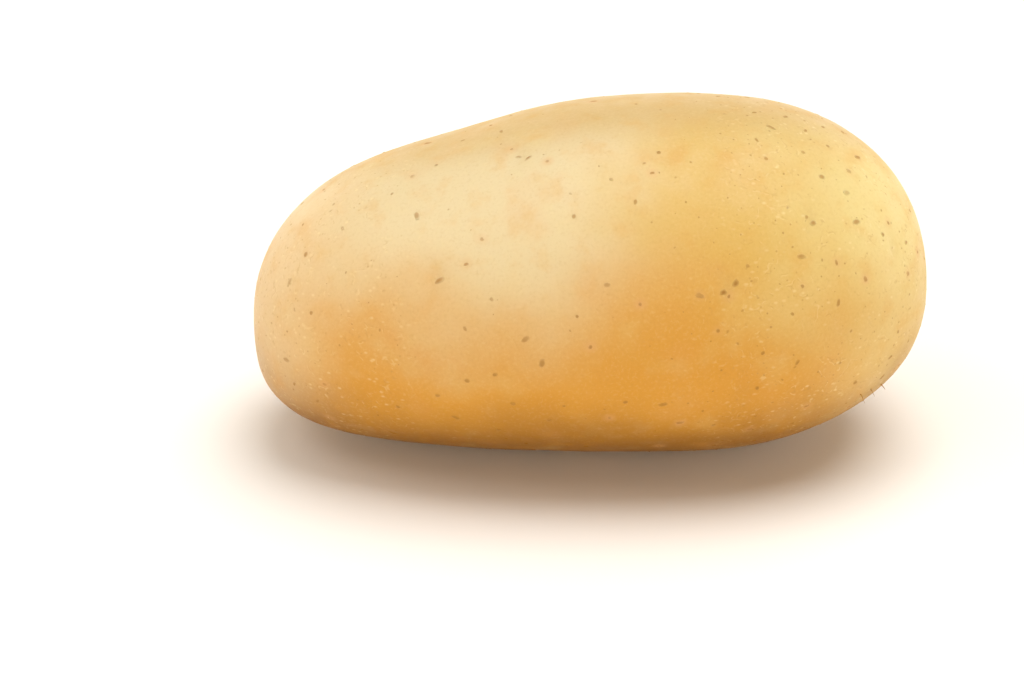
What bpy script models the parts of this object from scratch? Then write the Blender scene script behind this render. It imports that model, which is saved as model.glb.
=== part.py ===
"""A whole washed potato of a long oval kind, lying on its side on a small flat spot.

X runs along the tuber, from the stem end at -X to the bud end at +X, Z is up, and the origin is
the middle of the bottom of its box. Sizes are in metres.
"""

import math

import bmesh
import bpy
from mathutils import Matrix, Vector, noise

# Overall size of the tuber.
LENGTH = 0.110  # stem end to bud end
WIDTH = 0.0620  # across, as it lies
HEIGHT = 0.0572  # thickness at the widest station, before the rest spot is cut

# How the outline runs from end to end.
WIDEST = 0.62  # station of the widest section, as a share of the length from the stem end
STEM_BLUNTNESS = 2.54  # exponent of each end's outline: 2 is an ellipse and more is blunter
BUD_BLUNTNESS = 2.32
STEM_DROOP = 0.0089  # how far each end's tip hangs below the middle of the widest section
STEM_DROOP_POWER = 2.8
BUD_DROOP = 0.0028
BUD_DROOP_POWER = 5.0
SIDE_BEND = 0.0016  # the tips sit this far back, so that the tuber is a little bent in plan

# A shallow saddle across the top, where the tuber narrows towards its stem end.
WAIST_DEPTH = 0.0024
WAIST_STATION = 0.305
WAIST_REACH = 0.0170

# Broad, soft unevenness of the flesh.
LUMP_HEIGHT = 0.0007
LUMP_SIZE = 0.034

# Eyes: (station along the length, angle round from the top towards the viewer in degrees, width).
EYES = (
    (0.13, 205.0, 0.0075),
    (0.25, 300.0, 0.0080),
    (0.28, 58.0, 0.0055),
    (0.40, 17.0, 0.0055),
    (0.44, 160.0, 0.0085),
    (0.56, 245.0, 0.0085),
    (0.68, 70.0, 0.0060),
    (0.71, 100.0, 0.0060),
    (0.73, 325.0, 0.0080),
    (0.80, 47.0, 0.0055),
    (0.84, 195.0, 0.0080),
    (0.92, 280.0, 0.0070),
    (0.93, 55.0, 0.0060),
    (0.94, 168.0, 0.0065),
)
EYE_DEPTH_SHARE = 0.07  # depth of the hollow, as a share of the eye's width
EYE_LENGTH_SHARE = 0.5  # the hollow's reach along the tuber, as a share of its width
EYE_SPREAD_SHARE = 0.6  # and its reach across the tuber
EYE_BOW = 0.25  # how far an eye's ends curve towards the stem, as a share of its width
BROW_SHARE = 0.5  # height of the brow on the stem side, as a share of the hollow's depth
BROW_SETBACK = 1.2  # how far the brow lies from the hollow, in reaches of the hollow
EYE_LIMIT = 3.0  # an eye leaves the skin alone beyond this many times its width

# The stolon scar, a small round pit in the stem end, a little behind its tip.
SCAR_DIRECTION = (-1.0, 0.22, -0.10)
SCAR_RADIUS = 0.0030
SCAR_DEPTH = 0.0009

# How it lies: turned about Y until its weight is over the spot it stands on.
PITCH = math.radians(-1.1)
REST_CUT = 0.00035  # depth of the flesh that is flat where it rests
CUT_TOLERANCE = 1e-6  # corners this near the cut are taken as lying on it

DIVISIONS = 24  # quads along each edge of the cube that the skin starts from

SKIN_COLOUR = (0.84, 0.60, 0.22, 1.0)
SKIN_ROUGHNESS = 0.48
SHARP_ANGLE = math.radians(40)  # edges bent more than this are shaded sharp


def clear_scene():
    for thing in list(bpy.data.objects):
        bpy.data.objects.remove(thing)


def skin_material():
    material = bpy.data.materials.new("potato_skin")
    material.use_nodes = True
    shader = material.node_tree.nodes["Principled BSDF"]
    shader.inputs["Base Color"].default_value = SKIN_COLOUR
    shader.inputs["Roughness"].default_value = SKIN_ROUGHNESS
    shader.inputs["Metallic"].default_value = 0.0
    return material


def quad_ball():
    """A cube divided into an even grid and blown up into a ball of radius 1."""
    ball = bmesh.new()
    bmesh.ops.create_cube(ball, size=2.0)
    bmesh.ops.subdivide_edges(
        ball, edges=ball.edges[:], cuts=DIVISIONS - 1, use_grid_fill=True
    )
    for vertex in ball.verts:
        evened = Vector([math.tan(math.pi / 4 * share) for share in vertex.co])
        vertex.co = evened.normalized()
    return ball


def body_point(direction):
    """The point of the smooth tuber that lies in a direction from its middle."""
    ring = math.hypot(direction.y, direction.z)
    towards_bud = direction.x > 0
    bluntness = BUD_BLUNTNESS if towards_bud else STEM_BLUNTNESS
    reach = (abs(direction.x) ** bluntness + ring**bluntness) ** (-1 / bluntness)
    along, across, up = direction * reach

    widest_x = LENGTH * (WIDEST - 0.5)
    end = abs(along)
    if towards_bud:
        x = widest_x + LENGTH * (1 - WIDEST) * end
        droop = BUD_DROOP * end**BUD_DROOP_POWER
    else:
        x = widest_x - LENGTH * WIDEST * end
        droop = STEM_DROOP * end**STEM_DROOP_POWER

    waist_x = LENGTH * (WAIST_STATION - 0.5)
    waist = WAIST_DEPTH * math.exp(-(((x - waist_x) / WAIST_REACH) ** 2))
    y = WIDTH / 2 * across + SIDE_BEND * end**2
    z = HEIGHT / 2 * up - droop - waist * smooth_share(up)
    return Vector((x, y, z))


def smooth_share(up):
    """0 on the underside and 1 on the top, changing smoothly between them."""
    share = min(max(0.5 + 0.5 * up, 0.0), 1.0)
    return share * share * (3 - 2 * share)


def shape_body(ball):
    for vertex in ball.verts:
        vertex.co = body_point(vertex.co)
    ball.normal_update()


def raise_lumps(body):
    moves = [
        LUMP_HEIGHT * noise.noise(vertex.co / LUMP_SIZE) * vertex.normal
        for vertex in body.verts
    ]
    for vertex, move in zip(body.verts, moves):
        vertex.co += move
    body.normal_update()


def eye_centre(station, angle):
    """Where an eye sits on the smooth tuber."""
    x = LENGTH * (station - 0.5)
    widest_x = LENGTH * (WIDEST - 0.5)
    if x > widest_x:
        end = (x - widest_x) / (LENGTH * (1 - WIDEST))
        bluntness = BUD_BLUNTNESS
    else:
        end = (x - widest_x) / (LENGTH * WIDEST)
        bluntness = STEM_BLUNTNESS
    ring = (1 - abs(end) ** bluntness) ** (1 / bluntness)
    turn = math.radians(angle)
    direction = Vector((end, -ring * math.sin(turn), ring * math.cos(turn)))
    return body_point(direction.normalized())


def press_eye(body, station, angle, width):
    """A shallow hollow, wider across the tuber than along it, with a low brow on its stem side."""
    centre = eye_centre(station, angle)
    nearest = min(body.verts, key=lambda vertex: (vertex.co - centre).length)
    outward = nearest.normal.copy()
    along = (Vector((1, 0, 0)) - outward * outward.x).normalized()
    across = outward.cross(along)
    depth = EYE_DEPTH_SHARE * width
    reach = EYE_LENGTH_SHARE * width
    for vertex in body.verts:
        offset = vertex.co - centre
        if offset.length > EYE_LIMIT * width:
            continue
        side = offset.dot(across) / (EYE_SPREAD_SHARE * width)
        inline = (offset.dot(along) + EYE_BOW * width * side * side) / reach
        hollow = math.exp(-inline * inline - side * side)
        brow = BROW_SHARE * math.exp(-((inline + BROW_SETBACK) ** 2) - side * side)
        vertex.co += outward * depth * (brow - hollow)


def press_scar(body):
    """The pit that the stolon leaves in the stem end."""
    scar = body_point(Vector(SCAR_DIRECTION).normalized())
    for vertex in body.verts:
        away = (vertex.co - scar).length / SCAR_RADIUS
        vertex.co.x += SCAR_DEPTH * math.exp(-away * away)


def cut_rest_spot(body):
    """Slices off the lowest flesh, so that the tuber stands on one flat face."""
    lowest = min(vertex.co.z for vertex in body.verts)
    level = Vector((0, 0, lowest + REST_CUT))
    geometry = body.verts[:] + body.edges[:] + body.faces[:]
    cut = bmesh.ops.bisect_plane(
        body,
        geom=geometry,
        dist=CUT_TOLERANCE,
        plane_co=level,
        plane_no=(0, 0, -1),
        clear_outer=True,
    )
    rim = [item for item in cut["geom_cut"] if isinstance(item, bmesh.types.BMEdge)]
    bmesh.ops.contextual_create(body, geom=rim)
    body.normal_update()


def stand_on_origin(body):
    """Moves the tuber so that the bottom of its box is centred on the origin."""
    corners = [vertex.co for vertex in body.verts]
    low = Vector([min(corner[axis] for corner in corners) for axis in range(3)])
    high = Vector([max(corner[axis] for corner in corners) for axis in range(3)])
    foot = Vector(((low.x + high.x) / 2, (low.y + high.y) / 2, low.z))
    bmesh.ops.translate(body, verts=body.verts[:], vec=-foot)


def make_potato():
    body = quad_ball()
    shape_body(body)
    raise_lumps(body)
    for station, angle, width in EYES:
        press_eye(body, station, angle, width)
    press_scar(body)
    bmesh.ops.rotate(body, verts=body.verts[:], matrix=Matrix.Rotation(PITCH, 3, "Y"))
    cut_rest_spot(body)
    stand_on_origin(body)
    mesh = bpy.data.meshes.new("potato")
    body.to_mesh(mesh)
    body.free()
    mesh.shade_smooth()
    mesh.set_sharp_from_angle(angle=SHARP_ANGLE)
    mesh.materials.append(skin_material())
    potato = bpy.data.objects.new("potato", mesh)
    bpy.context.scene.collection.objects.link(potato)
    return potato


clear_scene()
make_potato()
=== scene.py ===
# A whole washed potato lying on its side: skin, lenticels, eyes, stem scar and root hairs
import math

import bmesh
import bpy
import numpy as np
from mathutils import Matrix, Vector, noise
from mathutils.bvhtree import BVHTree
from mathutils.kdtree import KDTree


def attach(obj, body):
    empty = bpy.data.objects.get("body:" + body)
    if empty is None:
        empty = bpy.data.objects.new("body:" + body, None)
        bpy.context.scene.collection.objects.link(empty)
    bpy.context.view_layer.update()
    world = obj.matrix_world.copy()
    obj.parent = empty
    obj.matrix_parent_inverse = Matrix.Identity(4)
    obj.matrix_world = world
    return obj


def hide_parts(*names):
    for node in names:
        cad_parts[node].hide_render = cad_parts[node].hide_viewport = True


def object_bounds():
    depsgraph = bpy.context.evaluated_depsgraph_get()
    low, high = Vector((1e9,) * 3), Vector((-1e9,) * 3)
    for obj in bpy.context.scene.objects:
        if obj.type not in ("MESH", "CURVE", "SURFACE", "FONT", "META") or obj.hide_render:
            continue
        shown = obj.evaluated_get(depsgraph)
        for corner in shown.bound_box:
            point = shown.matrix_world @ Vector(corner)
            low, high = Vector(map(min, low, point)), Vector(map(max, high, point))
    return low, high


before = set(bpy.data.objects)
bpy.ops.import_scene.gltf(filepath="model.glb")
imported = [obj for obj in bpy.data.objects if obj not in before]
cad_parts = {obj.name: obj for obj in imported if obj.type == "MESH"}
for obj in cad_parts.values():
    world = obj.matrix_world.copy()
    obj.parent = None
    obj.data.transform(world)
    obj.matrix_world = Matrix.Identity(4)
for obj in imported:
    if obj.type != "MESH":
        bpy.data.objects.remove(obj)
cadLow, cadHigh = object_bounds()
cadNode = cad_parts["potato"]
middle = (cadLow + cadHigh) / 2
half = (cadHigh - cadLow) / 2
mm = 0.001
print("frame loaded, potato is", [round(side / mm, 1) for side in cadHigh - cadLow], "mm")


# small helpers for node trees
def plug(tree, socket, value):
    if isinstance(value, bpy.types.NodeSocket):
        tree.links.new(value, socket)
    else:
        socket.default_value = value


def addNode(tree, kind, inputs=None, **settings):
    node = tree.nodes.new(kind)
    for name, value in settings.items():
        setattr(node, name, value)
    for name, value in (inputs or {}).items():
        plug(tree, node.inputs[name], value)
    return node


def calc(tree, operation, first, second=0.0):
    return addNode(tree, "ShaderNodeMath", {0: first, 1: second}, operation=operation).outputs[0]


def vector(tree, operation, first, second=(0, 0, 0)):
    inputs = {0: first, 1: second}
    return addNode(tree, "ShaderNodeVectorMath", inputs, operation=operation).outputs[0]


def stretch(tree, first, scale):
    inputs = {0: first, "Scale": scale}
    return addNode(tree, "ShaderNodeVectorMath", inputs, operation="SCALE").outputs[0]


def fade(tree, value, start, end, low=0.0, high=1.0):
    # a smooth step from low at start to high at end
    limits = {"Value": value, "From Min": start, "From Max": end, "To Min": low, "To Max": high}
    node = addNode(tree, "ShaderNodeMapRange", limits, interpolation_type="SMOOTHSTEP")
    return node.outputs["Result"]


def blend(tree, share, first, second):
    node = addNode(tree, "ShaderNodeMix", data_type="RGBA")
    for slot, value in zip((0, 6, 7), (share, first, second)):
        plug(tree, node.inputs[slot], value)
    return node.outputs[2]


def grain(tree, where, size, seed, detail=2.0, rough=0.5):
    # soft noise from 0 to 1, its blobs about size across
    inputs = {"Vector": where, "W": seed, "Scale": 1 / size, "Detail": detail, "Roughness": rough}
    return addNode(tree, "ShaderNodeTexNoise", inputs, noise_dimensions="4D").outputs[0]


def attribute(tree, name):
    return addNode(tree, "ShaderNodeAttribute", attribute_name=name).outputs["Fac"]


def tone(red, green, blue):
    # a colour given as 0 to 255 on screen
    shares = [channel / 255 for channel in (red, green, blue)]
    linear = [s / 12.92 if s <= 0.04045 else ((s + 0.055) / 1.055) ** 2.4 for s in shares]
    return (*linear, 1.0)


# the skin's finish, used by every piece that is skin or cork
skinFinish = {
    "gold": tone(204, 170, 94),
    "cream": tone(211, 192, 149),
    "peach": tone(211, 186, 142),
    # tan: partly the skin's own tan, partly painted shade where the upper back side falls darker
    "tan": tone(194, 163, 105),
    "budYellow": tone(213, 193, 130),
    # amber: the skin's own tone in the dark mottling; on the belly partly painted warm bounce light
    # and shade
    "amber": tone(202, 144, 43),
    # painted shade: a dark umber laid on the very bottom where less light falls
    "paintedShadeUmber": tone(146, 96, 15),
    "blush": tone(208, 158, 102),
    "cork": tone(156, 106, 40),
    "speck": tone(168, 122, 56),
    "fleck": tone(230, 211, 158),
    "tanSide": (0.0, 0.5, 0.87),  # the way the side with tan and painted shade faces
    # where each zone fades in, along the potato from -1 at the stem end to 1 at the bud end, or up
    # it from 0 to 1; a fade that doesn't run from 0 to 1 has its own two values behind
    "goldFade": (-0.15, 0.3),
    "peachFade": (-0.5, -0.9),
    "budYellowFade": (0.4, 0.9),
    "tanFade": (0.62, 0.92),  # by how far the skin faces the side with tan and painted shade
    # the amber belly: partly the skin's own tone, partly painted warm bounce light and shade
    "amberAndShadeFade": (0.78, 0.34),
    "amberAndShadeAtBudEnd": (0.45, 0.9, 0.0, 0.66),  # how much less of the amber and painted shade there is at each end
    "amberAndShadeAtStemEnd": (-0.65, -0.95, 0.0, 0.8),
    "amberAndShadeAtBack": (0.4, -0.2, 0.5, 1.0),  # and how much is left at the back
    "paintedBounceRisePlace": 0.2,  # painted warm bounce light makes it reach higher up round this place along the potato
    "paintedBounceRise": (0.4, 0.0, 0.0, 0.14),
    # painted shade: where the umber darkening fades in towards the very bottom
    "paintedShadeFade": (0.43, 0.07),
    "driftAlong": 0.8,  # how far the zones' edges wander
    "driftUp": 0.32,
    "patchSize": 20 * mm,
    "blushSize": 8 * mm,
    "blushFade": (0.52, 0.75),
    "yellowFade": (0.55, 0.8),
    "mottleSize": 4 * mm,
    "darkMottleFade": (0.5, 0.75),
    "lightMottleFade": (0.45, 0.25),
    "clumpSize": 9 * mm,
    "clumpFade": (0.33, 0.55),
    "dotHeart": 0.1,  # how much of a speck's or fleck's radius has its full colour
    "speckSpacing": 1.5 * mm,
    "speckRadius": 0.26 * mm,
    "fleckSpacing": 1.3 * mm,
    "fleckRadius": 0.32 * mm,
    "fleckStretch": (0.6, 0.8, 1.0),  # flecks are longer along the potato
    "corkSize": 3 * mm,
    "corkFade": (0.35, 0.62, 0.6, 1.0),  # cork is patchy
    "streakSize": 1.1 * mm,
    "streakFade": (0.3, 0.65, 0.35, 1.0),  # and browned skin is streaky
    "arcSize": 2.4 * mm,
    "gapSize": 1.0 * mm,
    "gapFade": (0.5, 0.62),
    "fineSize": 0.5 * mm,
    "fineRoughness": 0.6,
    "darkGrainFade": (0.5, 0.7),
    "lightGrainFade": (0.5, 0.3),
    "budCrowd": (0.1, 0.6),  # where the marks crowd together, fading in towards each end
    "stemCrowd": (-0.4, -0.65, 0.0, 0.9),
    "middleCrowd": 0.22,  # how thick they are in the middle, next to 1 at the bud end
    "arcLevels": (0.47, 0.52),  # the heights of the ripple that the flaking edges follow
    "arcWidth": 0.022,
    # how strongly each kind of patch and mark shows in the colour
    "blushShare": 0.15,
    "yellowShare": 0.16,
    "darkMottleShare": 0.22,
    "lightMottleShare": 0.07,
    "speckShare": 0.6,
    "fleckShare": 0.42,
    "lightEdgeShare": 0.28,
    "darkEdgeShare": 0.3,
    "darkGrainShare": 0.11,
    "lightGrainShare": 0.08,
    "haloShare": 0.6,
    "brownShare": 0.8,
    "corkShare": 0.9,
    "fleckRelief": 0.7,  # how far flecks and edges stand up, next to 1 for the finest grain
    "edgeRelief": 0.35,
    "bumpHeight": 0.04 * mm,
    "bumpStrength": 0.6,
    "roughness": (0.3, 0.7, 0.45, 0.57),  # by the mottling, from smoothest to dullest
    "corkRoughness": 0.25,  # added to it on cork
    "subsurface": 0.12,
    "subsurfaceReach": (1.0, 0.5, 0.2),  # of red, green and blue light, as shares of the depth
    "subsurfaceDepth": 3 * mm,
    "refraction": 1.42,
}


def zoneColour(tree, where, along, across, up):
    # broad zones of colour with edges that wander: cream and peach towards the stem, gold towards the
    # bud, yellow on the bud end, tan on the upper back side that is partly the skin's own tan and
    # partly painted shade, amber below that is partly the skin's own tone and partly painted warm
    # bounce light and shade, and umber at the very bottom that is painted shade
    look = skinFinish
    drift = calc(tree, "SUBTRACT", grain(tree, where, look["patchSize"], 1.0), 0.5)
    lengthwise = calc(tree, "MULTIPLY_ADD", drift, look["driftAlong"])
    plug(tree, lengthwise.node.inputs[2], along)
    upwards = calc(tree, "MULTIPLY_ADD", drift, look["driftUp"])
    plug(tree, upwards.node.inputs[2], up)
    colour = blend(tree, fade(tree, lengthwise, *look["goldFade"]), look["cream"], look["gold"])
    colour = blend(tree, fade(tree, lengthwise, *look["peachFade"]), colour, look["peach"])
    budYellow = fade(tree, lengthwise, *look["budYellowFade"])
    colour = blend(tree, budYellow, colour, look["budYellow"])
    outwards = vector(tree, "SUBTRACT", where, middle)
    outwards = vector(tree, "MULTIPLY", outwards, [1 / size ** 2 for size in half])
    inputs = {0: vector(tree, "NORMALIZE", outwards), 1: look["tanSide"]}
    turned = addNode(tree, "ShaderNodeVectorMath", inputs, operation="DOT_PRODUCT").outputs["Value"]
    # tan on the upper back side, partly the skin's own tan and partly painted shade
    colour = blend(tree, fade(tree, turned, *look["tanFade"]), colour, look["tan"])
    # amber belly, partly the skin's own tone and partly painted warm bounce light and shade, reaching
    # higher where painted bounce light falls
    budEnd = fade(tree, along, *look["amberAndShadeAtBudEnd"])
    stemEnd = fade(tree, along, *look["amberAndShadeAtStemEnd"])
    ends = calc(tree, "ADD", budEnd, stemEnd)
    fromBounceRise = calc(tree, "ABSOLUTE", calc(tree, "SUBTRACT", along, look["paintedBounceRisePlace"]))
    rise = fade(tree, fromBounceRise, *look["paintedBounceRise"])
    bellyAmberAndShade = fade(tree, calc(tree, "SUBTRACT", upwards, rise), *look["amberAndShadeFade"])
    bellyAmberAndShade = calc(tree, "MULTIPLY", bellyAmberAndShade, calc(tree, "SUBTRACT", 1.0, ends))
    bellyAmberAndShade = calc(tree, "MULTIPLY", bellyAmberAndShade, fade(tree, across, *look["amberAndShadeAtBack"]))
    colour = blend(tree, bellyAmberAndShade, colour, look["amber"])
    # painted shade: umber towards the very bottom
    return blend(tree, fade(tree, upwards, *look["paintedShadeFade"]), colour, look["paintedShadeUmber"])


def overlay(tree, colour, mark, share, paint):
    # lays a mark over the colour; share and paint are entries of skinFinish
    strength = calc(tree, "MULTIPLY", mark, skinFinish[share])
    return blend(tree, strength, colour, skinFinish[paint])


def mottledColour(tree, where, colour, mottle):
    # blushing patches, yellow patches and a finer mottling
    look = skinFinish
    blush = fade(tree, grain(tree, where, look["blushSize"], 5.0, 1.0), *look["blushFade"])
    yellow = fade(tree, grain(tree, where, look["blushSize"], 6.0, 1.0), *look["yellowFade"])
    dark = fade(tree, mottle, *look["darkMottleFade"])
    light = fade(tree, mottle, *look["lightMottleFade"])
    colour = overlay(tree, colour, blush, "blushShare", "blush")
    colour = overlay(tree, colour, yellow, "yellowShare", "budYellow")
    colour = overlay(tree, colour, dark, "darkMottleShare", "amber")
    return overlay(tree, colour, light, "lightMottleShare", "cream")


def dots(tree, where, spacing, radius):
    # scattered round dots: 1 in the heart of a dot and 0 between dots
    node = addNode(tree, "ShaderNodeTexVoronoi", {"Vector": where, "Scale": 1 / spacing})
    heart = skinFinish["dotHeart"] * radius
    return fade(tree, node.outputs["Distance"], radius / spacing, heart / spacing)


def endMarks(tree, where, along):
    # specks, light flecks and the dark and light edges of flaking skin, which follow broken arcs;
    # thick at both ends and thin in the middle
    look = skinFinish
    stemCrowd = fade(tree, along, *look["stemCrowd"])
    crowd = calc(tree, "MAXIMUM", fade(tree, along, *look["budCrowd"]), stemCrowd)
    crowd = calc(tree, "MAXIMUM", crowd, look["middleCrowd"])
    clump = fade(tree, grain(tree, where, look["clumpSize"], 9.0, 1.0), *look["clumpFade"])
    crowd = calc(tree, "MULTIPLY", crowd, clump)
    specks = dots(tree, where, look["speckSpacing"], look["speckRadius"])
    longer = addNode(tree, "ShaderNodeMapping", {"Vector": where, "Scale": look["fleckStretch"]})
    flecks = dots(tree, longer.outputs[0], look["fleckSpacing"], look["fleckRadius"])
    ripple = grain(tree, where, look["arcSize"], 19.0, 1.5)
    gaps = fade(tree, grain(tree, where, look["gapSize"], 17.0, 1.0), *look["gapFade"])
    edges = []
    for level in look["arcLevels"]:
        off = calc(tree, "ABSOLUTE", calc(tree, "SUBTRACT", ripple, level))
        edges.append(calc(tree, "MULTIPLY", fade(tree, off, look["arcWidth"], 0.0), gaps))
    return [calc(tree, "MULTIPLY", mark, crowd) for mark in (specks, flecks, *edges)]


def makeSkinMaterial(name):
    look = skinFinish
    material = bpy.data.materials.new(name)
    material.use_nodes = True
    tree = material.node_tree
    tree.nodes.clear()
    where = addNode(tree, "ShaderNodeTexCoord").outputs["Object"]

    # how far along, across and up the potato a point is: -1 to 1, -1 to 1 and 0 to 1
    spread = Vector((1 / half.x, 1 / half.y, 0.5 / half.z))
    scaled = vector(tree, "MULTIPLY", where, spread)
    along, across, up = addNode(tree, "ShaderNodeSeparateXYZ", {0: scaled}).outputs
    mottle = grain(tree, where, look["mottleSize"], 5.0, 3.0)
    fine = grain(tree, where, look["fineSize"], 13.0, 3.0, look["fineRoughness"])
    specks, flecks, darkEdges, lightEdges = endMarks(tree, where, along)
    colour = mottledColour(tree, where, zoneColour(tree, where, along, across, up), mottle)
    darkGrain = fade(tree, fine, *look["darkGrainFade"])
    lightGrain = fade(tree, fine, *look["lightGrainFade"])
    colour = overlay(tree, colour, darkGrain, "darkGrainShare", "speck")
    colour = overlay(tree, colour, lightGrain, "lightGrainShare", "fleck")
    colour = overlay(tree, colour, specks, "speckShare", "speck")
    colour = overlay(tree, colour, flecks, "fleckShare", "fleck")
    colour = overlay(tree, colour, lightEdges, "lightEdgeShare", "fleck")
    colour = overlay(tree, colour, darkEdges, "darkEdgeShare", "speck")

    # marks that the meshes carry: blush round the lenticels, browned eyes and scar, and cork
    uneven = fade(tree, grain(tree, where, look["corkSize"], 23.0, 1.0), *look["corkFade"])
    cork = calc(tree, "MULTIPLY", attribute(tree, "cork"), uneven)
    streaky = fade(tree, grain(tree, where, look["streakSize"], 29.0, 2.0), *look["streakFade"])
    brown = calc(tree, "MULTIPLY", attribute(tree, "brown"), streaky)
    colour = overlay(tree, colour, attribute(tree, "halo"), "haloShare", "blush")
    colour = overlay(tree, colour, brown, "brownShare", "speck")
    colour = overlay(tree, colour, cork, "corkShare", "cork")

    # the finest relief, too small for the mesh
    relief = calc(tree, "ADD", fine, calc(tree, "MULTIPLY", flecks, look["fleckRelief"]))
    relief = calc(tree, "ADD", relief, calc(tree, "MULTIPLY", lightEdges, look["edgeRelief"]))
    bump = addNode(tree, "ShaderNodeBump", {"Height": relief, "Distance": look["bumpHeight"]})
    bump.inputs["Strength"].default_value = look["bumpStrength"]

    rough = fade(tree, mottle, *look["roughness"])
    rough = calc(tree, "ADD", rough, calc(tree, "MULTIPLY", cork, look["corkRoughness"]))
    shader = addNode(tree, "ShaderNodeBsdfPrincipled")
    shader.inputs["Subsurface Weight"].default_value = look["subsurface"]
    shader.inputs["Subsurface Radius"].default_value = look["subsurfaceReach"]
    shader.inputs["Subsurface Scale"].default_value = look["subsurfaceDepth"]
    shader.inputs["IOR"].default_value = look["refraction"]
    for socket, value in (("Base Color", colour), ("Roughness", rough), ("Normal", bump.outputs[0])):
        tree.links.new(value, shader.inputs[socket])
    output = addNode(tree, "ShaderNodeOutputMaterial")
    tree.links.new(shader.outputs[0], output.inputs["Surface"])
    return material


skinMaterial = makeSkinMaterial("potatoSkin")
print("skin material made")


# Geometry Nodes trees with named inputs
def startTree(name, inputs):
    # inputs: socket names, by type
    tree = bpy.data.node_groups.new(name, "GeometryNodeTree")
    for kind, labels in inputs.items():
        for label in labels:
            tree.interface.new_socket(label, in_out="INPUT", socket_type="NodeSocket" + kind)
    tree.interface.new_socket("Result", in_out="OUTPUT", socket_type="NodeSocketGeometry")
    return tree, addNode(tree, "NodeGroupInput").outputs


def endTree(tree, geometry, material):
    smoothed = addNode(tree, "GeometryNodeSetShadeSmooth", {"Geometry": geometry}).outputs[0]
    real = addNode(tree, "GeometryNodeRealizeInstances", {"Geometry": smoothed}).outputs[0]
    finished = addNode(tree, "GeometryNodeSetMaterial", {"Geometry": real, "Material": material})
    tree.links.new(finished.outputs[0], addNode(tree, "NodeGroupOutput").inputs[0])


def runTree(name, tree, values, base=None):
    # runs the tree on a copy of base, or on nothing, and keeps the result as a plain mesh
    start = base.data.copy() if base else bpy.data.meshes.new(name)
    piece = bpy.data.objects.new(name, start)
    bpy.context.scene.collection.objects.link(piece)
    maker = piece.modifiers.new("maker", "NODES")
    maker.node_group = tree
    for socket in tree.interface.items_tree:
        if socket.in_out == "INPUT" and socket.name in values:
            maker[socket.identifier] = values[socket.name]
    graph = bpy.context.evaluated_depsgraph_get()
    grown = piece.evaluated_get(graph)
    made = bpy.data.meshes.new_from_object(grown, preserve_all_data_layers=True, depsgraph=graph)
    piece.modifiers.remove(maker)
    piece.data = made
    made.name = name
    return piece


def storeMark(tree, geometry, name, value):
    inputs = {"Geometry": geometry, "Name": name, "Value": value}
    kinds = {"data_type": "FLOAT", "domain": "POINT"}
    return addNode(tree, "GeometryNodeStoreNamedAttribute", inputs, **kinds).outputs[0]


def aboveFloor(tree, geometry):
    # nothing reaches below the surface that the potato lies on
    place = addNode(tree, "GeometryNodeInputPosition").outputs[0]
    x, y, z = addNode(tree, "ShaderNodeSeparateXYZ", {0: place}).outputs
    kept = addNode(tree, "ShaderNodeCombineXYZ", {0: x, 1: y, 2: calc(tree, "MAXIMUM", z, 0.0)})
    inputs = {"Geometry": geometry, "Position": kept.outputs[0]}
    return addNode(tree, "GeometryNodeSetPosition", inputs).outputs[0]


# the skin: an even quad ball dropped onto the CAD potato from inside, then given its relief
skinLook = {
    "Divisions": 126,  # quads along each edge of the ball's cube
    "End Reach": 0.25,  # how far towards the ends the rays start, which evens out the quads
    "Swell Height": 0.16 * mm,
    "Swell Size": 15 * mm,
    "Dimple Height": 0.05 * mm,
    "Dimple Size": 4.5 * mm,
    "Grain Height": 0.02 * mm,
    "Grain Size": 1.4 * mm,
}


def makeCage():
    # a closed quad copy of the CAD potato
    body = bmesh.new()
    body.from_mesh(cadNode.data)
    bmesh.ops.remove_doubles(body, verts=body.verts, dist=0.001 * mm)
    bends = {"angle_face_threshold": 0.5, "angle_shape_threshold": 1.2}
    bmesh.ops.join_triangles(body, faces=body.faces, **bends)
    cage = bpy.data.objects.new("cage", bpy.data.meshes.new("cage"))
    body.to_mesh(cage.data)
    body.free()
    bpy.context.scene.collection.objects.link(cage)
    return cage


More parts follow.
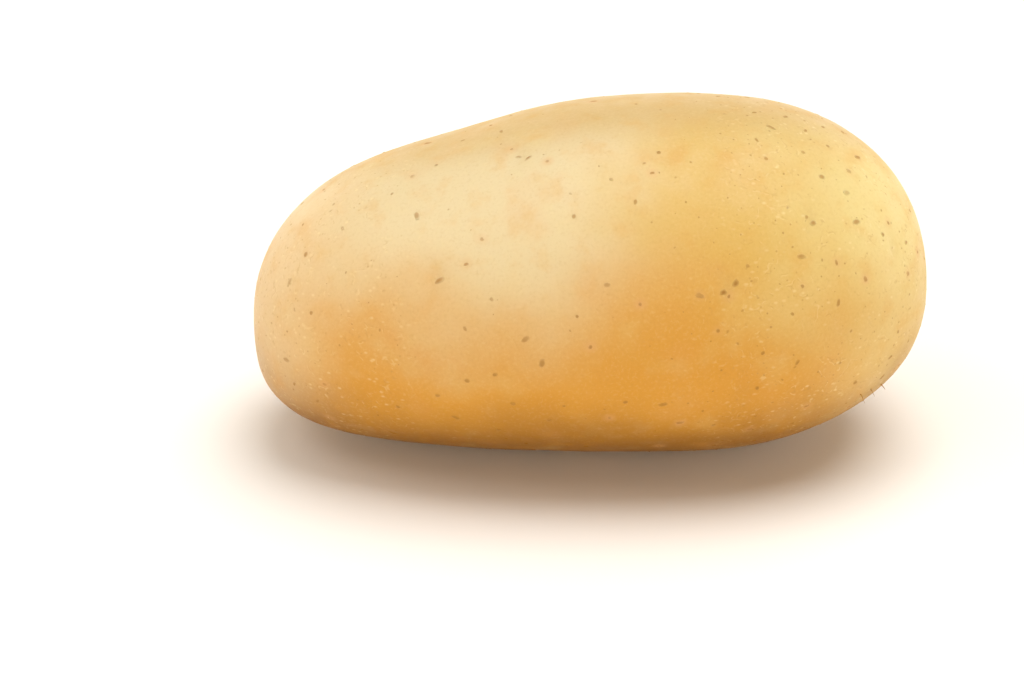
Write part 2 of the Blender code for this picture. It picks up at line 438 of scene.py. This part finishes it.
def makeSkinTree():
    tree, given = startTree("growSkin", {
        "Object": ["Cage"],
        "Int": ["Divisions"],
        "Float": [label for label in skinLook if label != "Divisions"],
        "Vector": ["Middle", "Half Size"],
        "Material": ["Material"],
    })
    cageMesh = addNode(tree, "GeometryNodeObjectInfo", {"Object": given["Cage"]}).outputs["Geometry"]
    inputs = {"Mesh": cageMesh, "Level": 3}
    smoothCage = addNode(tree, "GeometryNodeSubdivisionSurface", inputs).outputs[0]
    count = calc(tree, "ADD", given["Divisions"], 1)
    sizes = {"Size": (2, 2, 2), "Vertices X": count, "Vertices Y": count, "Vertices Z": count}
    cube = addNode(tree, "GeometryNodeMeshCube", sizes).outputs["Mesh"]
    place = addNode(tree, "GeometryNodeInputPosition").outputs[0]
    ball = vector(tree, "TANGENT", stretch(tree, place, math.pi / 4))
    stretched = vector(tree, "MULTIPLY", vector(tree, "NORMALIZE", ball), given["Half Size"])
    reach = addNode(tree, "ShaderNodeCombineXYZ", {0: given["End Reach"]}).outputs[0]
    lengthwise = vector(tree, "MULTIPLY", stretched, reach)
    rays = {
        "Target Geometry": smoothCage,
        "Source Position": vector(tree, "ADD", lengthwise, given["Middle"]),
        "Ray Direction": vector(tree, "SUBTRACT", stretched, lengthwise),
        "Ray Length": 1.0,
    }
    hit = addNode(tree, "GeometryNodeRaycast", rays).outputs["Hit Position"]
    skin = addNode(tree, "GeometryNodeSetPosition", {"Geometry": cube, "Position": hit}).outputs[0]

    # relief along the normal: swell, dimples and grain
    height = 0.0
    for seed, label in enumerate(("Swell", "Dimple", "Grain")):
        scale = calc(tree, "DIVIDE", 1.0, given[label + " Size"])
        inputs = {"Vector": place, "W": 20.0 + seed, "Scale": scale, "Detail": 2.0}
        bumps = addNode(tree, "ShaderNodeTexNoise", inputs, noise_dimensions="4D").outputs[0]
        bumps = calc(tree, "MULTIPLY", calc(tree, "SUBTRACT", bumps, 0.5), 2.0)
        height = calc(tree, "ADD", calc(tree, "MULTIPLY", bumps, given[label + " Height"]), height)
    lift = stretch(tree, addNode(tree, "GeometryNodeInputNormal").outputs[0], height)
    skin = addNode(tree, "GeometryNodeSetPosition", {"Geometry": skin, "Offset": lift}).outputs[0]
    endTree(tree, aboveFloor(tree, skin), given["Material"])
    return tree


cage = makeCage()
skinValues = {**skinLook, "Cage": cage, "Middle": middle, "Half Size": half, "Material": skinMaterial}
skin = runTree("potatoSkin", makeSkinTree(), skinValues)
bpy.data.objects.remove(cage)
print("skin grown:", len(skin.data.polygons), "quads")


coreHeight = middle.z * 0.9  # the line inside the potato that stations are measured along


def skinSurface():
    return BVHTree.FromObject(skin, bpy.context.evaluated_depsgraph_get())


def spotAt(surface, station, angle):
    # a point of the skin by its station from the stem end and its angle from the top towards the
    # front, with its outward normal, the way to the bud end and the way across
    start = Vector((cadLow.x + station * 2 * half.x, 0, coreHeight))
    rays = ((0, 0, 1), (0, 0, -1), (0, 1, 0), (0, -1, 0))
    top, bottom, back, front = [surface.ray_cast(start, Vector(ray))[0] for ray in rays]
    turn = math.radians(angle)
    guess = Vector((
        start.x,
        (back.y + front.y) / 2 - (back.y - front.y) / 2 * math.sin(turn),
        (top.z + bottom.z) / 2 + (top.z - bottom.z) / 2 * math.cos(turn),
    ))
    point, normal = surface.find_nearest(guess)[:2]
    along = (Vector((1, 0, 0)) - normal * normal.x).normalized()
    return point, normal, along, normal.cross(along)


# eyes: the same places as on the CAD potato, with a finer hollow and brow
eyeLook = {
    # station, angle and width; open eyes show their buds and faint ones only a trace
    "open": [
        (0.13, 205, 7.5 * mm), (0.25, 300, 8 * mm), (0.44, 160, 8.5 * mm), (0.56, 245, 8.5 * mm),
        (0.73, 325, 8 * mm), (0.84, 195, 8 * mm), (0.92, 280, 7 * mm), (0.94, 168, 6.5 * mm),
    ],
    "faint": [
        (0.28, 58, 5.5 * mm), (0.40, 17, 5.5 * mm), (0.68, 70, 6 * mm), (0.71, 100, 6 * mm),
        (0.80, 47, 5.5 * mm), (0.93, 55, 6 * mm),
    ],
    "hollowDepth": 0.35 * mm,
    "hollowLength": 1.1 * mm,
    "browHeight": 0.22 * mm,
    "browLength": 0.8 * mm,
    "browSetback": 1.9 * mm,
    "spread": 0.5,  # how far an eye reaches to each side, as a share of its width
    "bow": 0.22,  # how far an eye's ends curve towards the stem, as a share of its width
    "limit": 2,  # the skin is left alone beyond this many widths
    "faintShare": 0.3,
    "browning": 0.45,
}
surface = skinSurface()
eyes = []
for kind in ("open", "faint"):
    for station, angle, width in eyeLook[kind]:
        eyes.append((kind, width, *spotAt(surface, station, angle)))

count = len(skin.data.vertices)
places = np.empty(count * 3)
normals = np.empty(count * 3)
skin.data.vertices.foreach_get("co", places)
skin.data.vertex_normals.foreach_get("vector", normals)
places = places.reshape(-1, 3)
normals = normals.reshape(-1, 3)
marks = {"brown": np.zeros(count), "halo": np.zeros(count)}


def pressEye(kind, width, point, normal, along, across):
    # a hollow wider across than along, with a brow on its stem side
    look = eyeLook
    offset = places - np.array(point)
    outer = look["limit"] * width
    near = (normals @ np.array(normal) > 0) & (np.linalg.norm(offset, axis=1) < outer)
    side = offset @ np.array(across) / (look["spread"] * width)
    inline = offset @ np.array(along) + look["bow"] * width * side ** 2
    spread = np.exp(-side ** 2) * near
    hollow = np.exp(-(inline / look["hollowLength"]) ** 2) * spread
    brow = np.exp(-((inline + look["browSetback"]) / look["browLength"]) ** 2) * spread
    share = 1.0 if kind == "open" else look["faintShare"]
    return share * (look["browHeight"] * brow - look["hollowDepth"] * hollow), share * hollow


for eye in eyes:
    lift, browned = pressEye(*eye)
    places += normals * lift[:, None]
    marks["brown"] = np.maximum(marks["brown"], eyeLook["browning"] * browned)

# the stem scar: a shallow corky pit with a rim, a little behind the stem end's tip
scarLook = {
    "across": 0.20,  # share of the half width, towards the back
    "up": 0.33,  # share of the potato's height
    "radius": 2.6 * mm,
    # distances from the middle and widths below are shares of the radius
    "rimHeight": 0.2 * mm,
    "rimPlace": 0.95,
    "rimWidth": 0.25,
    "pitDepth": 0.3 * mm,
    "pitWidth": 0.6,
    "creases": 7,
    "creaseDepth": 0.06 * mm,
    "creasePlace": 0.9,
    "creaseWidth": 0.4,
    "creaseSwing": 1.5,  # how unevenly the creases are spaced
    "brownReach": 1.25,
}
scarAcross = middle.y + scarLook["across"] * half.y
scarAim = Vector((cadLow.x / 2, scarAcross, scarLook["up"] * 2 * half.z))
scarPoint, scarNormal = surface.ray_cast(scarAim, Vector((-1, 0, 0)))[:2]
fromScar = places - np.array(scarPoint)
away = np.linalg.norm(fromScar, axis=1) / scarLook["radius"]
roundScar = np.arctan2(fromScar[:, 2], fromScar[:, 1])
rim = np.exp(-((away - scarLook["rimPlace"]) / scarLook["rimWidth"]) ** 2)
pit = np.exp(-(away / scarLook["pitWidth"]) ** 4)
swing = scarLook["creaseSwing"] * np.sin(2 * roundScar)
crease = np.cos(scarLook["creases"] * roundScar + swing)
crease *= np.exp(-((away - scarLook["creasePlace"]) / scarLook["creaseWidth"]) ** 2)
lift = scarLook["rimHeight"] * rim - scarLook["pitDepth"] * pit
lift += scarLook["creaseDepth"] * crease
places += normals * lift[:, None]
browned = np.clip(scarLook["brownReach"] - away, 0, 1) ** 0.7
marks["brown"] = np.maximum(marks["brown"], browned)
places[:, 2] = np.maximum(places[:, 2], 0.0)
skin.data.vertices.foreach_set("co", places.ravel())
skin.data.update()
surface = skinSurface()
print("eyes and stem scar pressed in")


# lenticels and pore specks: lentil-shaped bits of cork with a dip in the middle, set into the skin
lenticelLook = {
    "lenticels": {
        "Spacing": 4.2 * mm, "Smallest": 0.6 * mm, "Largest": 1.1 * mm, "Height": 0.1 * mm,
        "Stretch": 2.1, "Raggedness": 0.2 * mm, "Middle Share": 0.45, "Stem Share": 0.5,
        "Darkness": 0.75, "Seed": 4,
    },
    "poreSpecks": {
        "Spacing": 2.2 * mm, "Smallest": 0.22 * mm, "Largest": 0.5 * mm, "Height": 0.055 * mm,
        "Stretch": 1.8, "Raggedness": 0.08 * mm, "Middle Share": 0.10, "Stem Share": 0.6,
        "Darkness": 0.6, "Seed": 11,
    },
}
corkClump = 12 * mm  # size of the clumps that both kinds gather in
corkClumpFade = (0.3, 0.6, 0.35, 1.0)
corkAtBudEnd = (0.0, 0.5)  # where they thicken towards each end, from -1 to 1 along the potato
corkAtStemEnd = (-0.4, -0.7)
corkCrowding = 1.5  # points offered for each square of the spacing
smallBias = 1.6  # the higher, the more of them are small
roundBias = 1.8  # the higher, the more of them are nearly round
ragSize = 0.45 * mm
lentilSides = 10
lentilRings = 6
lentilPoints = lentilSides * (lentilRings - 1) + 2
lentilCrown = (0.3, 0.95)  # heights between which a lentil of radius 1 turns corky
lentilSink = (0.75, 1.0, -0.3, -0.65)  # how far its rim and its middle are sunk, by height


def randomShare(tree, seed):
    inputs = {"Min": 0.0, "Max": 1.0, "Seed": seed}
    return addNode(tree, "FunctionNodeRandomValue", inputs, data_type="FLOAT").outputs[1]


def makeLentil(tree, place, darkness):
    # one lentil, a little sunk and dipped in the middle, and corkier from its rim to its crown
    inputs = {"Segments": lentilSides, "Rings": lentilRings, "Radius": 1.0}
    ball = addNode(tree, "GeometryNodeMeshUVSphere", inputs).outputs["Mesh"]
    height = addNode(tree, "ShaderNodeSeparateXYZ", {0: place}).outputs[2]
    crown = calc(tree, "MULTIPLY", fade(tree, height, *lentilCrown), darkness)
    marked = storeMark(tree, ball, "cork", crown)
    sink = fade(tree, height, *lentilSink)
    dip = addNode(tree, "ShaderNodeCombineXYZ", {2: sink}).outputs[0]
    inputs = {"Geometry": marked, "Offset": dip}
    return addNode(tree, "GeometryNodeSetPosition", inputs).outputs[0]


def makeLenticelTree():
    tree, given = startTree("scatterCork", {
        "Geometry": ["Geometry"],
        "Float": ["Spacing", "Smallest", "Largest", "Height", "Stretch", "Raggedness",
                  "Middle Share", "Stem Share", "Darkness", "Half Length"],
        "Int": ["Seed"],
        "Material": ["Material"],
    })
    place = addNode(tree, "GeometryNodeInputPosition").outputs[0]
    x = addNode(tree, "ShaderNodeSeparateXYZ", {0: place}).outputs[0]
    along = calc(tree, "DIVIDE", x, given["Half Length"])
    crowd = calc(tree, "MAXIMUM", fade(tree, along, *corkAtBudEnd), given["Middle Share"])
    stemCrowd = calc(tree, "MULTIPLY", fade(tree, along, *corkAtStemEnd), given["Stem Share"])
    crowd = calc(tree, "MAXIMUM", crowd, stemCrowd)
    clump = fade(tree, grain(tree, place, corkClump, 31.0), *corkClumpFade)
    thickness = calc(tree, "DIVIDE", corkCrowding, calc(tree, "POWER", given["Spacing"], 2.0))
    scatter = addNode(tree, "GeometryNodeDistributePointsOnFaces", {
        "Mesh": given["Geometry"], "Distance Min": given["Spacing"], "Seed": given["Seed"],
    }, distribute_method="POISSON")
    plug(tree, scatter.inputs["Density Max"], thickness)
    plug(tree, scatter.inputs["Density Factor"], calc(tree, "MULTIPLY", crowd, clump))

    # most are small and nearly round, a few are big or long
    spread = calc(tree, "SUBTRACT", given["Largest"], given["Smallest"])
    size = calc(tree, "POWER", randomShare(tree, given["Seed"]), smallBias)
    width = calc(tree, "ADD", given["Smallest"], calc(tree, "MULTIPLY", spread, size))
    width = calc(tree, "MULTIPLY", width, 0.5)
    longer = calc(tree, "POWER", randomShare(tree, 7), roundBias)
    longer = calc(tree, "MULTIPLY", longer, calc(tree, "SUBTRACT", given["Stretch"], 1.0))
    length = calc(tree, "MULTIPLY", width, calc(tree, "ADD", longer, 1.0))
    scale = addNode(tree, "ShaderNodeCombineXYZ", {0: width, 1: length, 2: given["Height"]}).outputs[0]
    angle = calc(tree, "MULTIPLY", randomShare(tree, 3), math.tau)
    inputs = {"Axis": (0, 0, 1), "Angle": angle}
    spin = addNode(tree, "FunctionNodeAxisAngleToRotation", inputs).outputs[0]
    inputs = {"Rotation": scatter.outputs["Rotation"], "Rotate By": spin}
    turned = addNode(tree, "FunctionNodeRotateRotation", inputs, rotation_space="LOCAL").outputs[0]
    copies = addNode(tree, "GeometryNodeInstanceOnPoints", {
        "Points": scatter.outputs["Points"], "Instance": makeLentil(tree, place, given["Darkness"]),
        "Rotation": turned, "Scale": scale,
    }).outputs[0]
    real = addNode(tree, "GeometryNodeRealizeInstances", {"Geometry": copies}).outputs[0]
    inputs = {"Vector": place, "Scale": 1 / ragSize, "Detail": 1.0}
    jitter = addNode(tree, "ShaderNodeTexNoise", inputs)
    jitter = vector(tree, "SUBTRACT", jitter.outputs["Color"], (0.5, 0.5, 0.5))
    inputs = {"Geometry": real, "Offset": stretch(tree, jitter, given["Raggedness"])}
    ragged = addNode(tree, "GeometryNodeSetPosition", inputs).outputs[0]
    endTree(tree, aboveFloor(tree, ragged), given["Material"])
    return tree


def writeMark(mesh, name, values):
    mark = mesh.attributes.new(name, "FLOAT", "POINT")
    mark.data.foreach_set("value", np.asarray(values, np.float32))


pieces = [skin]
corkTree = makeLenticelTree()
for name, values in lenticelLook.items():
    values = {**values, "Half Length": half.x, "Material": skinMaterial}
    piece = runTree(name, corkTree, values, skin)
    pieces.append(piece)
    print(name, "set:", len(piece.data.polygons), "faces")

# a soft blush round some lenticels, on the skin and on the lentils' own rims
haloLook = {"share": 0.45, "radius": 1.5 * mm, "strongest": 0.9, "seed": 8}


def lentilCentres(piece):
    corners = np.empty(len(piece.data.vertices) * 3)
    piece.data.vertices.foreach_get("co", corners)
    return corners.reshape(-1, lentilPoints, 3).mean(axis=1)


def blushLenticels(piece):
    finder = KDTree(count)
    for index, place in enumerate(places):
        finder.insert(place, index)
    finder.balance()
    luck = np.random.default_rng(haloLook["seed"])
    centres = lentilCentres(piece)
    strengths = luck.random(len(centres)) * haloLook["strongest"]
    strengths[luck.random(len(centres)) > haloLook["share"]] = 0.0
    for centre, strength in zip(centres, strengths):
        for _, index, distance in finder.find_range(centre, haloLook["radius"]):
            glow = strength * (1 - (distance / haloLook["radius"]) ** 2) ** 2
            marks["halo"][index] = max(marks["halo"][index], glow)
    writeMark(piece.data, "halo", np.repeat(strengths, lentilPoints))


blushLenticels(pieces[1])
for name, values in marks.items():
    writeMark(skin.data, name, values)
print("blush and browning marked")


# marks on the front: small dark cork spots at the faint eyes
spotLook = {
    # station, angle, length, width and the turn of the long side from the way along, in degrees
    "spots": [
        (0.393, 17, 1.0 * mm, 0.62 * mm, 5), (0.406, 18.5, 1.3 * mm, 0.55 * mm, 35),
        (0.674, 70, 1.3 * mm, 1.0 * mm, 20), (0.691, 67.5, 1.2 * mm, 0.95 * mm, 60),
        (0.804, 48, 1.2 * mm, 0.9 * mm, 15), (0.279, 58.5, 1.9 * mm, 0.85 * mm, 30),
        (0.910, 48, 0.9 * mm, 0.8 * mm, 0),
    ],
    "height": 0.09 * mm,
    "raggedness": 0.35,
    "topSize": 0.12,  # the flat top, as a share of the spot's size
    "sunkShare": 0.25,  # how much of a spot's curved side is below the skin
    "sideCurve": math.pi / 1.6,  # the angle that the side curves through
    "corkRim": 1.1,  # a ring this large, as a share of the spot's size, would have no cork colour
    "corkRise": 1.3,  # and how fast smaller rings gain it
    "sides": 14,
    "rings": 6,
}


def newPiece(name, body, mark, levels):
    mesh = bpy.data.meshes.new(name)
    bmesh.ops.recalc_face_normals(body, faces=body.faces)
    body.to_mesh(mesh)
    body.free()
    mesh.shade_smooth()
    mesh.materials.append(skinMaterial)
    writeMark(mesh, mark, levels)
    piece = bpy.data.objects.new(name, mesh)
    bpy.context.scene.collection.objects.link(piece)
    pieces.append(piece)
    print(name, "made:", len(mesh.polygons), "faces")


def bridge(body, rings):
    # faces between rings of corners, closed by a fan at each end
    for lower, upper in zip(rings, rings[1:]):
        for index in range(len(lower)):
            after = (index + 1) % len(lower)
            body.faces.new((lower[index], lower[after], upper[after], upper[index]))
    for end in (rings[0], rings[-1]):
        tip = body.verts.new(sum((corner.co for corner in end), Vector()) / len(end))
        for index in range(len(end)):
            body.faces.new((end[index], end[(index + 1) % len(end)], tip))


def addDome(body, point, normal, first, second, profile, sides, ragged, lean=Vector()):
    # rings of corners round a point: profile holds each ring's size and height
    rings = []
    for size, height in profile:
        ring = []
        for index in range(sides):
            turn = math.tau * index / sides
            wobble = 1 + ragged * noise.noise(point / mm + Vector((math.cos(turn), math.sin(turn), 0)))
            flat = first * math.cos(turn) + second * math.sin(turn)
            ring.append(body.verts.new(point + flat * size * wobble + normal * height + lean * height))
        rings.append(ring)
    bridge(body, rings)


def makeEyeSpots():
    body = bmesh.new()
    levels = []
    for station, angle, length, width, degrees in spotLook["spots"]:
        point, normal, along, across = spotAt(surface, station, angle)
        turn = math.radians(degrees)
        first = (along * math.cos(turn) + across * math.sin(turn)) * length / 2
        second = (across * math.cos(turn) - along * math.sin(turn)) * width / 2
        profile = []
        for ring in range(spotLook["rings"] + 1):
            turn = (ring / spotLook["rings"] - spotLook["sunkShare"]) * spotLook["sideCurve"]
            size = max(math.cos(turn), spotLook["topSize"])
            profile.append((size, spotLook["height"] * math.sin(turn)))
        addDome(body, point, normal, first, second, profile, spotLook["sides"], spotLook["raggedness"])
        for size, _ in profile:
            corky = max(spotLook["corkRim"] - size, 0.0) * spotLook["corkRise"]
            levels += [min(corky, 1.0)] * spotLook["sides"]
        levels += [0.0, 1.0]
    newPiece("eyeSpots", body, "cork", levels)


makeEyeSpots()


# open eyes: a corky line along the brow and small buds in the hollow
budLook = {
    # each bud's place across the eye, as a share of its width, with its radius and height
    "sizes": [
        (0.0, 1.0 * mm, 0.75 * mm), (0.27, 0.62 * mm, 0.5 * mm), (-0.25, 0.55 * mm, 0.42 * mm),
    ],
    "foot": 0.3,  # how deep a bud is set into the skin, as a share of its height
    "lean": 0.35,  # how far a bud leans towards the bud end
    "raggedness": 0.12,
    "sides": 16,
    "rings": 7,
    "footCork": 0.15,  # how corky a bud is at its foot, and how much is added towards its tip
    "tipCork": 0.5,
    "endCork": (0.2, 0.75),  # at the very bottom and the very tip
    "lineRadius": 0.14 * mm,
    "lineEnd": 0.02 * mm,  # radius that is left at a line's ends
    "linePlace": 0.55,  # where a line runs, from the hollow at 0 to the brow's crest at 1
    "lineSpread": 0.6,  # how far it reaches to each side, as a share of the eye's width
    "lineBow": 1.2,
    "lineWander": 0.3 * mm,
    "wanderSize": 1.2 * mm,
    "lineCork": 0.75,  # how corky it is in the middle
    "lineUnevenness": 0.5,
    "unevenSize": 0.8 * mm,
    "linePoints": 17,
    "lineSides": 6,
}


def makeEyeBuds():
    look = budLook
    body = bmesh.new()
    levels = []
    for kind, width, point, _, along, across in eyes:
        if kind != "open":
            continue
        for side, radius, height in look["sizes"]:
            centre = point + across * side * width - along * eyeLook["bow"] * width * (2 * side) ** 2
            centre, outward = surface.find_nearest(centre)[:2]
            profile = [(radius, -look["foot"] * height)]
            for ring in range(look["rings"]):
                share = ring / look["rings"]
                profile.append((radius * (1 - share) ** 0.7, height * share ** 0.85))
            lean = along * look["lean"]
            shape = (profile, look["sides"], look["raggedness"], lean)
            addDome(body, centre, outward, along, across, *shape)
            for _, rise in profile:
                corky = look["footCork"] + look["tipCork"] * max(rise / height, 0.0) ** 2
                levels += [corky] * look["sides"]
            levels += look["endCork"]
    newPiece("eyeBuds", body, "cork", levels)


def makeBrowLines():
    look = budLook
    body = bmesh.new()
    levels = []
    for kind, width, point, _, along, across in eyes:
        if kind != "open":
            continue
        rings = []
        for step in range(look["linePoints"]):
            side = 2 * step / (look["linePoints"] - 1) - 1
            setback = look["linePlace"] * eyeLook["browSetback"]
            setback += eyeLook["bow"] * width * (look["lineBow"] * side) ** 2
            wave = (point + across * side * width) / look["wanderSize"]
            setback += look["lineWander"] * noise.noise(wave)
            guess = point + across * side * look["lineSpread"] * width - along * setback
            centre, outward = surface.find_nearest(guess)[:2]
            thick = look["lineRadius"] * (1 - side ** 2) ** 0.5 + look["lineEnd"]
            thick *= 1 + look["lineUnevenness"] * noise.noise(centre / look["unevenSize"])
            ring = []
            for index in range(look["lineSides"]):
                turn = math.tau * index / look["lineSides"]
                edge = along * math.cos(turn) + outward * math.sin(turn)
                ring.append(body.verts.new(centre + edge * thick))
            rings.append(ring)
            levels += [look["lineCork"] * (1 - side ** 2)] * look["lineSides"]
        bridge(body, rings)
        levels += [0.0, 0.0]
    newPiece("browLines", body, "cork", levels)


makeEyeBuds()
makeBrowLines()


# the broken stub of the stolon in the stem scar
stubLook = {
    # each ring's radius and height above the pit, from its foot to its broken end and back inside
    "profile": [
        (1.15, -0.5), (1.1, -0.1), (0.85, 0.12), (0.7, 0.35), (0.68, 0.55), (0.74, 0.7), (0.5, 0.66),
        (0.25, 0.5),
    ],
    "sides": 26,
    "raggedness": 0.5,
    "ringCork": (0.55, 0.95),  # how corky the rings are, turn about
}


def makeStub():
    body = bmesh.new()
    profile = [(size * mm, height * mm) for size, height in stubLook["profile"]]
    first = scarNormal.cross(Vector((0, 0, 1))).normalized()
    second = scarNormal.cross(first)
    foot = surface.find_nearest(scarPoint)[0]
    addDome(body, foot, scarNormal, first, second, profile, stubLook["sides"], stubLook["raggedness"])
    levels = []
    for ring in range(len(profile)):
        levels += [stubLook["ringCork"][ring % 2]] * stubLook["sides"]
    newPiece("stolonStub", body, "cork", levels + [1.0, 1.0])


makeStub()


# root hairs: a few short bent wisps low on the bud end
hairLook = {
    "Reach": 5 * mm,
    "Spacing": 2.3 * mm,
    "Length": 1.35 * mm,
    "Thickness": 0.12 * mm,
    "Droop": 0.5 * mm,
    "Wander": 2.0 * mm,
    "Seed": 5,
}
hairPlace = (0.894, 127)  # station and angle of the patch that they grow on
hairWave = 2 * mm  # size of the waves that they wander in
hairTip = 0.12  # radius of a hair's tip, as a share of its root's
hairShortest = 0.4  # the shortest hair, as a share of Length; the longest is 1 more


def makeHairTree():
    tree, given = startTree("growHairs", {
        "Geometry": ["Geometry"],
        "Vector": ["Zone"],
        "Float": [label for label in hairLook if label != "Seed"],
        "Int": ["Seed"],
        "Material": ["Material"],
    })
    place = addNode(tree, "GeometryNodeInputPosition").outputs[0]
    inputs = {0: place, 1: given["Zone"]}
    apart = addNode(tree, "ShaderNodeVectorMath", inputs, operation="DISTANCE").outputs["Value"]
    near = fade(tree, apart, given["Reach"], calc(tree, "MULTIPLY", given["Reach"], 0.5))
    thickness = calc(tree, "DIVIDE", 1.0, calc(tree, "POWER", given["Spacing"], 2.0))
    scatter = addNode(tree, "GeometryNodeDistributePointsOnFaces", {
        "Mesh": given["Geometry"], "Distance Min": given["Spacing"], "Seed": given["Seed"],
        "Density Max": thickness, "Density Factor": near,
    }, distribute_method="POISSON")

    # a tapered hair, marked with how far along it a point is
    inputs = {"Vertices": 6, "Side Segments": 8, "Radius Top": hairTip, "Radius Bottom": 1.0}
    hair = addNode(tree, "GeometryNodeMeshCone", {**inputs, "Depth": 1.0}).outputs["Mesh"]
    height = addNode(tree, "ShaderNodeSeparateXYZ", {0: place}).outputs[2]
    hair = storeMark(tree, hair, "tall", height)
    hair = storeMark(tree, hair, "cork", fade(tree, height, 0.0, 0.6, 0.35, 0.75))
    length = calc(tree, "ADD", randomShare(tree, 4), hairShortest)
    length = calc(tree, "MULTIPLY", given["Length"], length)
    inputs = {0: given["Thickness"], 1: given["Thickness"], 2: length}
    scale = addNode(tree, "ShaderNodeCombineXYZ", inputs).outputs[0]
    copies = addNode(tree, "GeometryNodeInstanceOnPoints", {
        "Points": scatter.outputs["Points"], "Instance": hair,
        "Rotation": scatter.outputs["Rotation"], "Scale": scale,
    }).outputs[0]
    real = addNode(tree, "GeometryNodeRealizeInstances", {"Geometry": copies}).outputs[0]
    reader = addNode(tree, "GeometryNodeInputNamedAttribute", {"Name": "tall"}, data_type="FLOAT")
    tall = reader.outputs[0]
    bend = calc(tree, "MULTIPLY", calc(tree, "POWER", tall, 2.0), given["Droop"])
    droop = stretch(tree, (0, 0, -1), bend)
    inputs = {"Vector": place, "Scale": 1 / hairWave, "Detail": 1.0}
    sway = addNode(tree, "ShaderNodeTexNoise", inputs)
    sway = vector(tree, "SUBTRACT", sway.outputs["Color"], (0.5, 0.5, 0.5))
    sway = stretch(tree, sway, calc(tree, "MULTIPLY", tall, given["Wander"]))
    inputs = {"Geometry": real, "Offset": vector(tree, "ADD", droop, sway)}
    bent = addNode(tree, "GeometryNodeSetPosition", inputs).outputs[0]
    endTree(tree, aboveFloor(tree, bent), given["Material"])
    return tree


hairZone = spotAt(surface, *hairPlace)[0]
hairValues = {**hairLook, "Zone": hairZone, "Material": skinMaterial}
hairs = runTree("rootHairs", makeHairTree(), hairValues, skin)
pieces.append(hairs)
print("root hairs grown:", len(hairs.data.polygons), "faces")


# stage: floor, light and camera
stageLook = {
    "floorSize": 8.0,
    "floorDrop": 0.02 * mm,
    "floorColour": (0.88, 0.85, 0.81, 1.0),
    "floorRoughness": 0.9,
    "floorShine": 0.2,
    # where the studio fades, by the height of the direction looked in, and how bright it is below
    # and above that
    "skyFade": (0.15, 0.6, 2.4, 0.04),
    "skyColour": (1.0, 0.88, 0.71, 1.0),
    "azimuth": -2.84,  # degrees round from the front
    "elevation": 25.0,
    "distance": 462.5 * mm,
    "aimAcross": -12.4 * mm,  # aimed left of the potato's middle and below it
    "aimUp": -11.6 * mm,
    "lens": 100.0,
    # each light's direction, spread in degrees and strength
    "lights": {
        "keyLight": ((0.2, 0.15, 0.95), 50, 2.7),
        "leftFill": ((-0.5, -0.1, 0.85), 40, 0.8),
    },
}


def makeFloor():
    side = stageLook["floorSize"] / 2
    mesh = bpy.data.meshes.new("floor")
    corners = [(-side, -side, 0), (side, -side, 0), (side, side, 0), (-side, side, 0)]
    mesh.from_pydata(corners, [], [(0, 1, 2, 3)])
    floor = bpy.data.objects.new("floor", mesh)
    floor.location.z = -stageLook["floorDrop"]
    bpy.context.scene.collection.objects.link(floor)
    material = bpy.data.materials.new("paleFloor")
    material.use_nodes = True
    shader = material.node_tree.nodes["Principled BSDF"]
    shader.inputs["Base Color"].default_value = stageLook["floorColour"]
    shader.inputs["Roughness"].default_value = stageLook["floorRoughness"]
    shader.inputs["Specular IOR Level"].default_value = stageLook["floorShine"]
    mesh.materials.append(material)
    return floor


def addSoftLight(name, direction, spread, strength):
    # a broad light far away, shining from a direction, its disc spread degrees wide
    lamp = bpy.data.lights.new(name, "SUN")
    lamp.angle = math.radians(spread)
    lamp.energy = strength
    light = bpy.data.objects.new(name, lamp)
    light.location = middle + Vector(direction).normalized()
    light.rotation_euler = Vector(direction).to_track_quat("Z", "Y").to_euler()
    bpy.context.scene.collection.objects.link(light)


def addCamera():
    turn = math.radians(stageLook["azimuth"])
    rise = math.radians(stageLook["elevation"])
    back = Vector((math.sin(turn) * math.cos(rise), -math.cos(turn) * math.cos(rise), math.sin(rise)))
    right = Vector((math.cos(turn), math.sin(turn), 0))
    upward = back.cross(right)
    place = middle + back * stageLook["distance"]
    target = middle + right * stageLook["aimAcross"] + upward * stageLook["aimUp"]
    lens = bpy.data.cameras.new("camera")
    lens.lens = stageLook["lens"]
    lens.clip_start = 0.01
    camera = bpy.data.objects.new("camera", lens)
    camera.location = place
    camera.rotation_euler = (target - place).to_track_quat("-Z", "Y").to_euler()
    bpy.context.scene.collection.objects.link(camera)
    bpy.context.scene.camera = camera


def lightWorld():
    # a white studio that is brightest near the floor
    world = bpy.data.worlds.new("studio")
    world.use_nodes = True
    tree = world.node_tree
    way = addNode(tree, "ShaderNodeTexCoord").outputs["Generated"]
    up = addNode(tree, "ShaderNodeSeparateXYZ", {0: way}).outputs[2]
    strength = fade(tree, up, *stageLook["skyFade"])
    tree.links.new(strength, tree.nodes["Background"].inputs["Strength"])
    tree.nodes["Background"].inputs["Color"].default_value = stageLook["skyColour"]
    bpy.context.scene.world = world


floor = makeFloor()
for name, values in stageLook["lights"].items():
    addSoftLight(name, *values)
addCamera()
lightWorld()
bpy.context.scene.view_settings.view_transform = "Standard"
print("stage set")

# hand over to the frame
for piece in pieces:
    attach(piece, "root")
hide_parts("potato")
